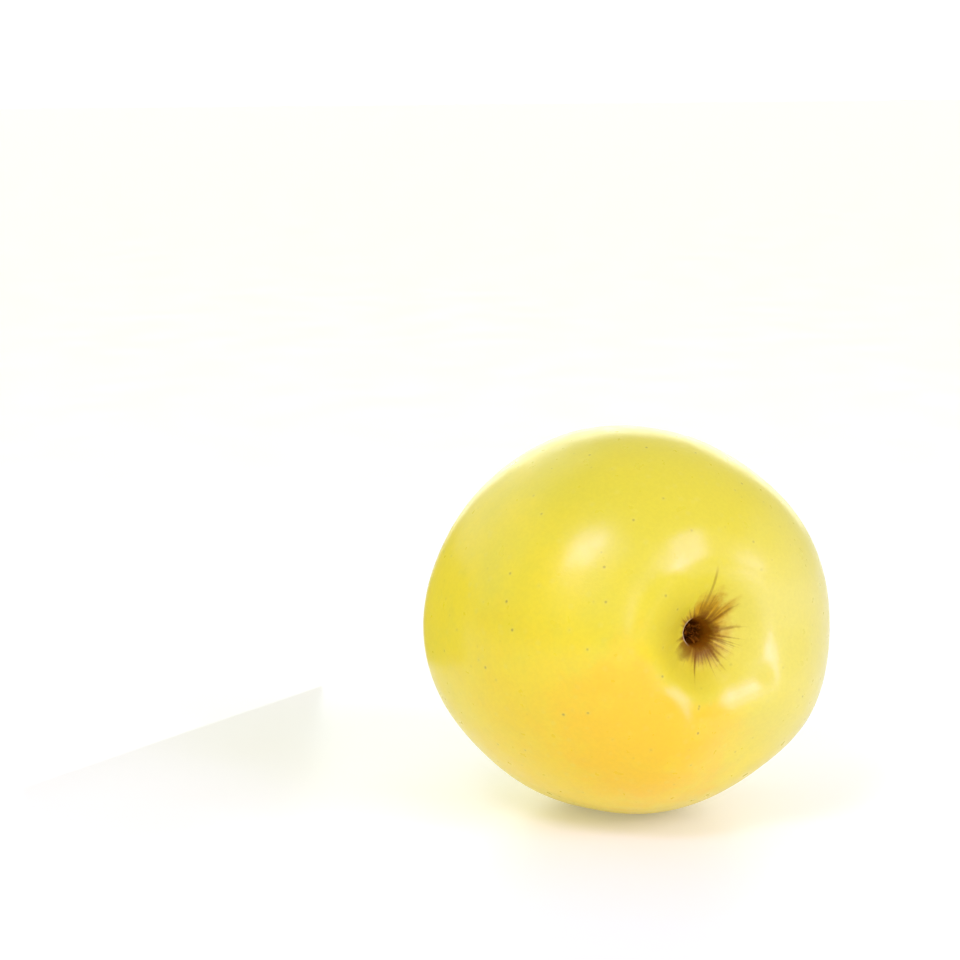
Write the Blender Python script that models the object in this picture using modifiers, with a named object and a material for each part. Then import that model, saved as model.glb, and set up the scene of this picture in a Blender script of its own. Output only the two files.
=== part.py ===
"""A whole yellow apple lying on its side: the fruit, its woody stem and its withered calyx.

Units are metres and +Z is up. The apple rests on a small flat spot whose centre is the origin.
The stem end points along +Y and the blossom end, with the calyx, along -Y and a little upwards.
Inside the frame empty, local +Z runs from the calyx to the stem along the apple's own axis.
"""

import math

import bmesh
import bpy
from mathutils import Matrix, Vector

# Size of the fruit, before its lobes and dimples
EQUATOR_RADIUS = 0.040
HALF_LENGTH = 0.036
SQUARENESS = 2.34
TAPER_TO_CALYX = 0.064

# Dimples along the axis: depth, width and steepness of the bell that sinks each one
STEM_CAVITY = (0.0130, 0.0093, 1.6)
STEM_SOCKET = (0.0040, 0.00195, 8.0)
CALYX_BASIN = (0.0080, 0.0090, 2.0)
CALYX_TUBE = (0.0065, 0.0030, 8.0)

# The five lobes, one for each seed chamber, stand out most on one side and fade near the axis
LOBE_COUNT = 5
LOBE_ANGLE = math.radians(70.5)
LOBE_STRONG_SIDE = math.radians(251.5)
LOBE_UNEVENNESS = 0.8
CROWN_SWELL = 0.0235
CROWN_RISE = 0.00088
SHOULDER_SWELL = 0.0175
SHOULDER_RISE = 0.0009
LOBE_ONSET = 1.5
LOBE_FADE_RADIUS = 0.015
LOBE_FADE_POWER = 3

# Slow changes of the girth: waves around the axis, share of the radius, angle of a crest
GIRTH_WAVES = (
    (2, 0.0213, math.radians(6.5)),
    (3, 0.0041, math.radians(100.3)),
    (4, 0.0083, math.radians(-1.3)),
)
SHOULDER_LEAN = 0.030
SHOULDER_LEAN_ANGLE = math.radians(200)

# How the apple lies
BLOSSOM_END_RISE = math.radians(6.4)
REST_SPOT_DEPTH = 0.0007

# Fineness of the fruit's surface: rings lie closer together near the axis
TURN_STEPS = 60
FINEST_RING = 0.0008
RING_GROWTH = 0.095
PROFILE_SAMPLES = 4000
MERGE_DISTANCE = 1e-5
CUT_DISTANCE = 1e-7

# The stem: its length and bend, from the root in the socket to the knob where it left the spur
STEM_LENGTH = 0.0280
STEM_BEND = 0.0042
STEM_BEND_ANGLE = math.radians(215)
STEM_BEND_POWER = 2.4
STEM_RINGS = 22
STEM_RING_CROWDING = 1.25
STEM_BEVEL_RESOLUTION = 4
SOCKET_GAP = 0.0011

# The stem's thickness, with lengths along it as shares of the whole
STEM_RADIUS = 0.00120
STEM_ROOT_SWELL = 0.12
STEM_ROOT_REACH = 0.12
STEM_KNOB_SWELL = 0.55
STEM_KNOB_REACH = 0.22
STEM_END_ROUNDING = 0.035
STEM_END_SHARE = 0.55

# Bark ridges along the stem, and the uneven, slanting end of the knob
STEM_RIDGES = 5
STEM_RIDGE_HEIGHT = 0.05
STEM_RIDGE_TWIST = 4.0
STEM_RIDGE_START = 0.15
KNOB_REACH = 0.12
KNOB_CORNERS = 3
KNOB_CORNER_HEIGHT = 0.12
KNOB_SLANT = 0.35

# The withered calyx at the foot of its tube
CALYX_BASE_RADIUS = 0.0017
CALYX_BASE_TAPER = 0.92
CALYX_BASE_HEIGHT = 0.0016
BASE_SIDES = 20
STYLE_RADIUS = 0.0004
STYLE_TAPER = 0.6
STYLE_LENGTH = 0.0031
CALYX_GAP = 0.0008

# Each sepal: a tapered tongue that leans in and curls out again at its tip
SEPAL_COUNT = 5
SEPAL_LENGTH = 0.0042
SEPAL_WIDTH = 0.0013
SEPAL_TIP_SHARE = 0.29
SEPAL_THICKNESS = 0.0006
SEPAL_SIDES = 10
SEPAL_CUTS = 4
SEPAL_RING_RADIUS = 0.00135
SEPAL_ROOT_HEIGHT = 0.0004
SEPAL_LEAN = 0.00144
SEPAL_CURL = 0.00234
SEPAL_ANGLE_SCATTER = 0.18
SEPAL_LENGTH_SCATTER = 0.10

# Plain finishes: colour and roughness
SKIN = ((0.80, 0.66, 0.08), 0.35)
STEM_WOOD = ((0.23, 0.10, 0.03), 0.70)
WITHERED = ((0.08, 0.04, 0.02), 0.85)
SHARP_ANGLE = math.radians(50)


def clear_scene():
    """Empties the startup scene."""
    for old in list(bpy.data.objects):
        bpy.data.objects.remove(old, do_unlink=True)


def make_collection(name):
    """A new collection, linked to the scene."""
    collection = bpy.data.collections.new(name)
    bpy.context.scene.collection.children.link(collection)
    return collection


def make_material(name, finish):
    """A plain Principled material."""
    colour, roughness = finish
    material = bpy.data.materials.new(name)
    material.use_nodes = True
    shader = material.node_tree.nodes["Principled BSDF"]
    shader.inputs["Base Color"].default_value = (*colour, 1.0)
    shader.inputs["Roughness"].default_value = roughness
    shader.inputs["Metallic"].default_value = 0.0
    return material


def bell(dimple, radius):
    """How far a dimple sinks the surface at a distance from the axis."""
    depth, width, steepness = dimple
    return depth * math.exp(-((radius / width) ** steepness))


def profile_point(angle):
    """The turned form at an angle from the stem end: its radius and its height along the axis."""
    cosine = math.cos(angle)
    height = HALF_LENGTH * math.copysign(abs(cosine) ** (2 / SQUARENESS), cosine)
    radius = EQUATOR_RADIUS * math.sin(angle) ** (2 / SQUARENESS)
    radius *= 1 + TAPER_TO_CALYX * height / HALF_LENGTH
    if height > 0:
        height -= bell(STEM_CAVITY, radius) + bell(STEM_SOCKET, radius)
    else:
        height += bell(CALYX_BASIN, radius) + bell(CALYX_TUBE, radius)
    return Vector((radius, 0.0, height))


def profile_points():
    """The profile from the stem's socket to the calyx tube, with rings closer near the axis."""
    fine = [profile_point(math.pi * i / PROFILE_SAMPLES) for i in range(PROFILE_SAMPLES + 1)]
    travelled = [0.0]
    for here, there in zip(fine, fine[1:]):
        spacing = FINEST_RING + RING_GROWTH * here.x
        travelled.append(travelled[-1] + (there - here).length / spacing)
    ring_count = round(travelled[-1])
    points = []
    index = 0
    for ring in range(ring_count + 1):
        target = travelled[-1] * ring / ring_count
        while index < PROFILE_SAMPLES - 1 and travelled[index + 1] < target:
            index += 1
        step = travelled[index + 1] - travelled[index]
        share = min((target - travelled[index]) / step, 1.0)
        points.append(fine[index].lerp(fine[index + 1], share))
    points[0].x = 0.0
    points[-1].x = 0.0
    return points


def lobe_wave(angle):
    """From a crest to a valley of the five lobes, which are strongest on one side."""
    strength = 1 + LOBE_UNEVENNESS * math.cos(angle - LOBE_STRONG_SIDE)
    return strength * math.cos(LOBE_COUNT * (angle - LOBE_ANGLE))


def uneven(point):
    """Moves a point of the turned form to the lobed, slightly lopsided fruit."""
    radius = math.hypot(point.x, point.y)
    angle = math.atan2(point.y, point.x)
    off_axis = 1 - math.exp(-((radius / LOBE_FADE_RADIUS) ** LOBE_FADE_POWER))
    calyx_share = max(-point.z / HALF_LENGTH, 0.0) ** LOBE_ONSET
    stem_share = max(point.z / HALF_LENGTH, 0.0) ** LOBE_ONSET
    wave = lobe_wave(angle) * off_axis
    girth = 1 + (CROWN_SWELL * calyx_share + SHOULDER_SWELL * stem_share) * wave
    for count, share, crest in GIRTH_WAVES:
        girth += share * math.cos(count * (angle - crest))
    rise = (SHOULDER_RISE * stem_share - CROWN_RISE * calyx_share) * wave
    lean = SHOULDER_LEAN * stem_share * radius * math.cos(angle - SHOULDER_LEAN_ANGLE)
    return Vector((point.x * girth, point.y * girth, point.z + rise + lean * off_axis))


def mesh_from_modifiers(source, name):
    """The evaluated mesh of an object, which is then removed."""
    graph = bpy.context.evaluated_depsgraph_get()
    mesh = bpy.data.meshes.new_from_object(source.evaluated_get(graph))
    mesh.name = name
    bpy.data.objects.remove(source, do_unlink=True)
    return mesh


def turned_fruit(collection):
    """The profile turned about the axis with a Screw, then pushed out into lobes."""
    profile = bpy.data.meshes.new("profile")
    points = profile_points()
    edges = [(i, i + 1) for i in range(len(points) - 1)]
    profile.from_pydata(points, edges, [])
    outline = bpy.data.objects.new("profile", profile)
    collection.objects.link(outline)
    screw = outline.modifiers.new("turn", "SCREW")
    screw.steps = TURN_STEPS
    screw.render_steps = TURN_STEPS
    screw.use_merge_vertices = True
    screw.merge_threshold = MERGE_DISTANCE
    mesh = mesh_from_modifiers(outline, "fruit")
    for vertex in mesh.vertices:
        vertex.co = uneven(vertex.co)
    return mesh


def lay_down(mesh):
    """Cuts the flat rest spot and returns the matrix that lays the fruit on it, over the origin."""
    turn = Matrix.Rotation(math.pi, 4, "Z")
    turn = turn @ Matrix.Rotation(math.pi / 2 + BLOSSOM_END_RISE, 4, "X")
    lowest = min((turn @ vertex.co).z for vertex in mesh.vertices)
    cut_height = lowest + REST_SPOT_DEPTH
    to_local = turn.inverted()
    body = bmesh.new()
    body.from_mesh(mesh)
    cut = bmesh.ops.bisect_plane(
        body,
        geom=body.verts[:] + body.edges[:] + body.faces[:],
        dist=CUT_DISTANCE,
        plane_co=to_local @ Vector((0, 0, cut_height)),
        plane_no=to_local.to_3x3() @ Vector((0, 0, -1)),
        clear_outer=True,
    )
    rim = [item for item in cut["geom_cut"] if isinstance(item, bmesh.types.BMEdge)]
    spot = bmesh.ops.holes_fill(body, edges=rim, sides=0)["faces"][0]
    centre = turn @ spot.calc_center_median()
    body.to_mesh(mesh)
    body.free()
    return Matrix.Translation((-centre.x, -centre.y, -cut_height)) @ turn


def stem_root():
    """Height along the axis of the stem's lower end, just above the floor of its socket."""
    return HALF_LENGTH - STEM_CAVITY[0] - STEM_SOCKET[0] + SOCKET_GAP


def calyx_root():
    """Height along the axis of the foot of the calyx, just clear of the floor of its tube."""
    return -(HALF_LENGTH - CALYX_BASIN[0] - CALYX_TUBE[0]) - CALYX_GAP


def stem_centre(share):
    """A point of the stem's centreline, from its root at 0 to its knob at 1."""
    side = STEM_BEND * share**STEM_BEND_POWER
    return Vector(
        (
            side * math.cos(STEM_BEND_ANGLE),
            side * math.sin(STEM_BEND_ANGLE),
            stem_root() + STEM_LENGTH * share,
        )
    )


def stem_radius(share):
    """Half the stem's thickness, from its root at 0 to its knob at 1."""
    root = STEM_ROOT_SWELL * math.exp(-share / STEM_ROOT_REACH)
    knob = STEM_KNOB_SWELL * math.exp(-(((1 - share) / STEM_KNOB_REACH) ** 2))
    rounding = min((1 - share) / STEM_END_ROUNDING, 1.0)
    end = STEM_END_SHARE + (1 - STEM_END_SHARE) * math.sqrt(rounding)
    return STEM_RADIUS * (1 + root + knob) * end


def stem_curve(collection):
    """The stem's centreline as a curve with a round bevel, bending to one side as it rises."""
    data = bpy.data.curves.new("stem_curve", "CURVE")
    data.dimensions = "3D"
    data.bevel_depth = 1.0
    data.bevel_resolution = STEM_BEVEL_RESOLUTION
    data.use_fill_caps = True
    spline = data.splines.new("POLY")
    spline.points.add(STEM_RINGS - 1)
    for index, place in enumerate(spline.points):
        share = 1 - (1 - index / (STEM_RINGS - 1)) ** STEM_RING_CROWDING
        place.co = (*stem_centre(share), 1.0)
        place.radius = stem_radius(share)
    curve = bpy.data.objects.new("stem_curve", data)
    collection.objects.link(curve)
    return curve


def roughen_stem(mesh):
    """Gives the stem its shallow bark ridges and an uneven, slanting knob."""
    rings = bmesh.new()
    rings.from_mesh(mesh)
    bmesh.ops.remove_doubles(rings, verts=rings.verts, dist=MERGE_DISTANCE)
    for vertex in rings.verts:
        share = min(max((vertex.co.z - stem_root()) / STEM_LENGTH, 0.0), 1.0)
        centre = stem_centre(share)
        out_x = vertex.co.x - centre.x
        out_y = vertex.co.y - centre.y
        angle = math.atan2(out_y, out_x)
        above_socket = min(max(share / STEM_RIDGE_START - 1, 0.0), 1.0)
        ridge = math.cos(STEM_RIDGES * angle + STEM_RIDGE_TWIST * share)
        knob = math.exp(-(((1 - share) / KNOB_REACH) ** 2))
        corner = math.cos(KNOB_CORNERS * angle + 1.0)
        swell = STEM_RIDGE_HEIGHT * above_socket * ridge + KNOB_CORNER_HEIGHT * knob * corner
        vertex.co.x += out_x * swell
        vertex.co.y += out_y * swell
        vertex.co.z += KNOB_SLANT * knob * out_x * (1 + swell)
    rings.to_mesh(mesh)
    rings.free()


def sepal(index, collection):
    """One withered sepal, standing on the ring around the styles."""
    mesh = bpy.data.meshes.new("sepal")
    tongue = bmesh.new()
    bmesh.ops.create_cone(
        tongue,
        cap_ends=True,
        segments=SEPAL_SIDES,
        radius1=SEPAL_WIDTH / 2,
        radius2=SEPAL_WIDTH / 2 * SEPAL_TIP_SHARE,
        depth=SEPAL_LENGTH,
        matrix=Matrix.Translation((0, 0, SEPAL_LENGTH / 2)),
    )
    sides = [edge for edge in tongue.edges if edge.verts[0].co.z != edge.verts[1].co.z]
    bmesh.ops.subdivide_edges(tongue, edges=sides, cuts=SEPAL_CUTS)
    for vertex in tongue.verts:
        share = vertex.co.z / SEPAL_LENGTH
        vertex.co.x *= SEPAL_THICKNESS / SEPAL_WIDTH
        vertex.co.x += SEPAL_CURL * share**3 - SEPAL_LEAN * share
    turn = 2 * math.pi * index / SEPAL_COUNT + SEPAL_ANGLE_SCATTER * math.sin(2.3 * index)
    stretch = 1 + SEPAL_LENGTH_SCATTER * math.sin(1.7 * index + 0.6)
    place = Matrix.Rotation(turn, 4, "Z")
    place = place @ Matrix.Translation((SEPAL_RING_RADIUS, 0, SEPAL_ROOT_HEIGHT))
    place = place @ Matrix.Diagonal((1, 1, stretch, 1))
    bmesh.ops.transform(tongue, matrix=place, verts=tongue.verts)
    tongue.to_mesh(mesh)
    tongue.free()
    piece = bpy.data.objects.new(f"sepal_{index}", mesh)
    collection.objects.link(piece)


def round_bar(name, radius, taper, length, collection):
    """A short upright bar on the axis."""
    mesh = bpy.data.meshes.new(name)
    bar = bmesh.new()
    bmesh.ops.create_cone(
        bar,
        cap_ends=True,
        segments=BASE_SIDES,
        radius1=radius,
        radius2=radius * taper,
        depth=length,
        matrix=Matrix.Translation((0, 0, length / 2)),
    )
    bar.to_mesh(mesh)
    bar.free()
    piece = bpy.data.objects.new(name, mesh)
    collection.objects.link(piece)
    return piece


def calyx_mesh(collection):
    """Base, styles and five sepals joined into one solid that stands on its base, tips up."""
    sepals = make_collection("sepals")
    base = round_bar("calyx_base", CALYX_BASE_RADIUS, CALYX_BASE_TAPER, CALYX_BASE_HEIGHT, collection)
    round_bar("styles", STYLE_RADIUS, STYLE_TAPER, STYLE_LENGTH, sepals)
    for index in range(SEPAL_COUNT):
        sepal(index, sepals)
    join = base.modifiers.new("join", "BOOLEAN")
    join.operation = "UNION"
    join.operand_type = "COLLECTION"
    join.collection = sepals
    mesh = mesh_from_modifiers(base, "calyx")
    for piece in list(sepals.objects):
        bpy.data.objects.remove(piece, do_unlink=True)
    bpy.data.collections.remove(sepals)
    return mesh


def add_piece(name, mesh, material, frame, collection):
    """One named solid, held by the apple's frame."""
    mesh.materials.clear()
    mesh.materials.append(material)
    mesh.shade_smooth()
    mesh.set_sharp_from_angle(angle=SHARP_ANGLE)
    piece = bpy.data.objects.new(name, mesh)
    collection.objects.link(piece)
    piece.parent = frame
    return piece


def main():
    """Builds the apple."""
    clear_scene()
    apple = make_collection("apple")
    fruit_mesh = turned_fruit(apple)
    frame = bpy.data.objects.new("apple_frame", None)
    apple.objects.link(frame)
    frame.matrix_world = lay_down(fruit_mesh)
    add_piece("apple_body", fruit_mesh, make_material("apple_skin", SKIN), frame, apple)
    stem_mesh = mesh_from_modifiers(stem_curve(apple), "stem")
    roughen_stem(stem_mesh)
    add_piece("stem", stem_mesh, make_material("stem_wood", STEM_WOOD), frame, apple)
    withered = make_material("withered_calyx", WITHERED)
    calyx = add_piece("calyx", calyx_mesh(apple), withered, frame, apple)
    calyx.location = (0, 0, calyx_root())
    calyx.rotation_euler = (math.pi, 0, 0)


main()
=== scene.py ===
"""Looks of one whole yellow apple that lies on its side.

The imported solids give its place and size. The script makes the fine skin with its lobes, basin and
hollow, the woody stem and the withered calyx, dresses them, and sets up a bright white studio with
a camera at the photograph's viewing angle. Lengths are metres unless a name says otherwise.
"""

import logging
import math
import random
from dataclasses import dataclass
from enum import Enum
from typing import Union

import bmesh
import bpy
from mathutils import Matrix, Vector, noise


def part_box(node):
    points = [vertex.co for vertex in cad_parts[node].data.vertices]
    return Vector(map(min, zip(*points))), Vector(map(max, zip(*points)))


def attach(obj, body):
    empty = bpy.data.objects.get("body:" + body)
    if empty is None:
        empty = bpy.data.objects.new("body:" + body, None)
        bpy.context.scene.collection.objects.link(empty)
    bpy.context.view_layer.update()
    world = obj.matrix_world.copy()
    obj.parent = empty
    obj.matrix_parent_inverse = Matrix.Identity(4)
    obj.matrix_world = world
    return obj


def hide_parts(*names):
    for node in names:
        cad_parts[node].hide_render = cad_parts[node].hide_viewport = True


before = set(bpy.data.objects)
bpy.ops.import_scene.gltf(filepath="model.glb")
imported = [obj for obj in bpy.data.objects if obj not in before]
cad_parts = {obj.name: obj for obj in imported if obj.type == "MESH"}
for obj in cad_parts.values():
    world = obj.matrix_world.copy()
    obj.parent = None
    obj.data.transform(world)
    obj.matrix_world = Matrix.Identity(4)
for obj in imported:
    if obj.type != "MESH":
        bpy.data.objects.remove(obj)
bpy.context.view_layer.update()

BODY = "root"
MERGE_DISTANCE = 1e-6
MILLIMETRES = 1000.0

Socket = bpy.types.NodeSocket
Number = Union[Socket, float]
Triple = tuple[float, float, float]
Colour = Triple
Tint = Union[Socket, Colour]
Arrow = Union[Socket, Triple]
Span = tuple[float, float]

log = logging.getLogger("apple")


class Slot(Enum):
    """The record's material slots."""

    SKIN = "apple_skin"
    STEM = "stem_wood"
    CALYX = "withered_calyx"


class Node(Enum):
    """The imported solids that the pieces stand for."""

    BODY = "apple_body"
    STEM = "stem"
    CALYX = "calyx"


def smooth_step(value: float, start: float, end: float) -> float:
    """Rises smoothly from 0 at start to 1 at end."""
    share = min(max((value - start) / (end - start), 0.0), 1.0)
    return share * share * (3 - 2 * share)


def merge_into(shape: bmesh.types.BMesh, part: bmesh.types.BMesh) -> None:
    """Adds a part to a shape, and frees the part.

    Args:
        shape: the bmesh that grows.
        part: the bmesh that is added.
    """
    mesh = bpy.data.meshes.new("part")
    part.to_mesh(mesh)
    part.free()
    shape.from_mesh(mesh)
    bpy.data.meshes.remove(mesh)


def finish_piece(
    name: str, shape: bmesh.types.BMesh, material: bpy.types.Material
) -> bpy.types.Object:
    """Turns a finished bmesh into a dressed piece that rides on the apple.

    Args:
        name: the piece's name.
        shape: its mesh in the row frame; it is freed here.
        material: its finish.

    Returns:
        The new object, at the origin, with its place in its mesh.
    """
    bmesh.ops.recalc_face_normals(shape, faces=shape.faces)
    mesh = bpy.data.meshes.new(name)
    shape.to_mesh(mesh)
    shape.free()
    mesh.materials.append(material)
    mesh.shade_smooth()
    piece = bpy.data.objects.new(name, mesh)
    bpy.context.scene.collection.objects.link(piece)
    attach(piece, BODY)
    return piece


class Tree:
    """A node tree, with a short method for each kind of node that the finishes and the sky use."""

    def __init__(self, tree: bpy.types.NodeTree) -> None:
        """Takes the tree whose nodes it adds to."""
        self.nodes = tree.nodes
        self.links = tree.links

    def feed(self, socket: Socket, value: Union[Number, Tint]) -> None:
        """Links a socket to a node's output, or sets it to a constant.

        Args:
            socket: the input that is fed.
            value: another node's output, a number, a vector or a colour.
        """
        if isinstance(value, bpy.types.NodeSocket):
            self.links.new(value, socket)
        elif socket.type == "RGBA":
            socket.default_value = (*value, 1.0)
        else:
            socket.default_value = value

    def parts(self, vector: Socket) -> tuple[Socket, Socket, Socket]:
        """The three parts of a vector.

        Args:
            vector: the vector.

        Returns:
            Its x, y and z.
        """
        node = self.nodes.new("ShaderNodeSeparateXYZ")
        self.feed(node.inputs[0], vector)
        return node.outputs[0], node.outputs[1], node.outputs[2]

    def combine(self, x: Number, y: Number, z: Number) -> Socket:
        """A vector from its three parts.

        Args:
            x: its first part.
            y: its second part.
            z: its third part.

        Returns:
            The vector.
        """
        node = self.nodes.new("ShaderNodeCombineXYZ")
        for socket, value in zip(node.inputs, (x, y, z)):
            self.feed(socket, value)
        return node.outputs[0]

    def vector(self, operation: str, first: Arrow, second: Arrow = (0, 0, 0)) -> Socket:
        """The result of a vector operation.

        Args:
            operation: the node's name for it.
            first: the first vector.
            second: the second vector, where it takes two.

        Returns:
            A number for a length or a dot product, or else a vector.
        """
        node = self.nodes.new("ShaderNodeVectorMath")
        node.operation = operation
        self.feed(node.inputs[0], first)
        self.feed(node.inputs[1], second)
        return node.outputs["Value" if operation in ("LENGTH", "DOT_PRODUCT") else "Vector"]

    def toward(self, around: Socket, degrees: float) -> Socket:
        """The cosine of the angle between a flat unit vector and a direction round the axis."""
        angle = math.radians(degrees)
        return self.vector("DOT_PRODUCT", around, (math.cos(angle), math.sin(angle), 0.0))

    def scaled(self, vector: Socket, factor: float) -> Socket:
        """A vector times a number."""
        return self.vector("MULTIPLY", vector, (factor, factor, factor))

    def math(self, operation: str, first: Number, second: Number = 0.0, clamp: bool = False) -> Socket:
        """The result of a sum, product or other operation on one or two numbers.

        Args:
            operation: the node's name for it.
            first: the first number.
            second: the second number, where it takes two.
            clamp: whether the result is kept between 0 and 1.

        Returns:
            The result.
        """
        node = self.nodes.new("ShaderNodeMath")
        node.operation = operation
        node.use_clamp = clamp
        self.feed(node.inputs[0], first)
        self.feed(node.inputs[1], second)
        return node.outputs[0]

    def ease(self, value: Number, start: Number, end: Number, low: float = 0.0, high: float = 1.0) -> Socket:
        """Goes smoothly from low at start to high at end, and stays there.

        Args:
            value: the number that is eased.
            start: where the change starts.
            end: where it ends, above or below the start.
            low: the result at the start.
            high: the result at the end.

        Returns:
            The eased number.
        """
        node = self.nodes.new("ShaderNodeMapRange")
        node.interpolation_type = "SMOOTHSTEP"
        names = ("Value", "From Min", "From Max", "To Min", "To Max")
        for name, number in zip(names, (value, start, end, low, high)):
            self.feed(node.inputs[name], number)
        return node.outputs["Result"]

    def noise(self, place: Socket, scale: float, detail: float = 2.0, roughness: float = 0.5) -> Socket:
        """Soft noise from 0 to 1.

        Args:
            place: where it is read.
            scale: how fine it is.
            detail: how many finer layers it has.
            roughness: how strong each finer layer is.

        Returns:
            The noise.
        """
        node = self.nodes.new("ShaderNodeTexNoise")
        self.feed(node.inputs["Vector"], place)
        node.inputs["Scale"].default_value = scale
        node.inputs["Detail"].default_value = detail
        node.inputs["Roughness"].default_value = roughness
        return node.outputs[0]

    def chance(self, number: Number) -> Socket:
        """A random share that is the same wherever the number is the same.

        Args:
            number: the number that it depends on.

        Returns:
            The share, from 0 to 1.
        """
        node = self.nodes.new("ShaderNodeTexWhiteNoise")
        node.noise_dimensions = "1D"
        self.feed(node.inputs["W"], number)
        return node.outputs["Value"]

    def cells(self, place: Socket, scale: float) -> tuple[Socket, Socket]:
        """Scattered points: the distance to the nearest one, in cells, and its own random number.

        Args:
            place: where they are read.
            scale: how close together they are.

        Returns:
            The distance and the random number.
        """
        node = self.nodes.new("ShaderNodeTexVoronoi")
        self.feed(node.inputs["Vector"], place)
        node.inputs["Scale"].default_value = scale
        return node.outputs["Distance"], self.parts(node.outputs["Color"])[0]

    def tint(self, amount: Number, first: Tint, second: Tint, way: str = "MIX") -> Socket:
        """Two colours blended.

        Args:
            amount: how much of the second is taken.
            first: the first colour.
            second: the second colour.
            way: the node's name for the way of blending.

        Returns:
            The blended colour.
        """
        node = self.nodes.new("ShaderNodeMix")
        node.data_type = "RGBA"
        node.blend_type = way
        self.feed(node.inputs["Factor"], amount)
        colours = [socket for socket in node.inputs if socket.type == "RGBA"]
        self.feed(colours[0], first)
        self.feed(colours[1], second)
        return next(socket for socket in node.outputs if socket.type == "RGBA")


class Graph(Tree):
    """One material's node tree round its Principled shader."""

    def __init__(self, name: str) -> None:
        """Starts a material.

        Args:
            name: the material's name.
        """
        self.material = bpy.data.materials.new(name)
        self.material.use_nodes = True
        super().__init__(self.material.node_tree)
        self.shader = self.nodes["Principled BSDF"]

    def set(self, **sockets: Union[Number, Tint]) -> None:
        """Feeds the shader's sockets, named with underscores for spaces."""
        for name, value in sockets.items():
            self.feed(self.shader.inputs[name.replace("_", " ")], value)

    def attribute(self, name: str) -> Socket:
        """The vector that the mesh stores under a name.

        Args:
            name: the attribute's name.

        Returns:
            The vector.
        """
        node = self.nodes.new("ShaderNodeAttribute")
        node.attribute_name = name
        return node.outputs["Vector"]

    def object_place(self) -> Socket:
        """The place in the row frame, in metres."""
        return self.nodes.new("ShaderNodeTexCoord").outputs["Object"]

    def bump(self, height: Socket, depth: float) -> Socket:
        """A bumped normal, for a height from 0 to 1 and its depth in metres.

        Args:
            height: the height.
            depth: how much a height of 1 stands out.

        Returns:
            The normal.
        """
        node = self.nodes.new("ShaderNodeBump")
        node.inputs["Distance"].default_value = depth
        self.feed(node.inputs["Height"], height)
        return node.outputs["Normal"]


@dataclass(frozen=True)
class Dimple:
    """A bell-shaped hollow on the fruit's axis."""

    depth: float
    width: float
    steepness: float

    def sink(self, radius: float) -> float:
        """How far it sinks the surface at a distance from the axis."""
        return self.depth * math.exp(-((radius / self.width) ** self.steepness))


@dataclass(frozen=True)
class GirthWave:
    """A slow change of the girth around the axis."""

    count: int
    share: float
    crest: float


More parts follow.
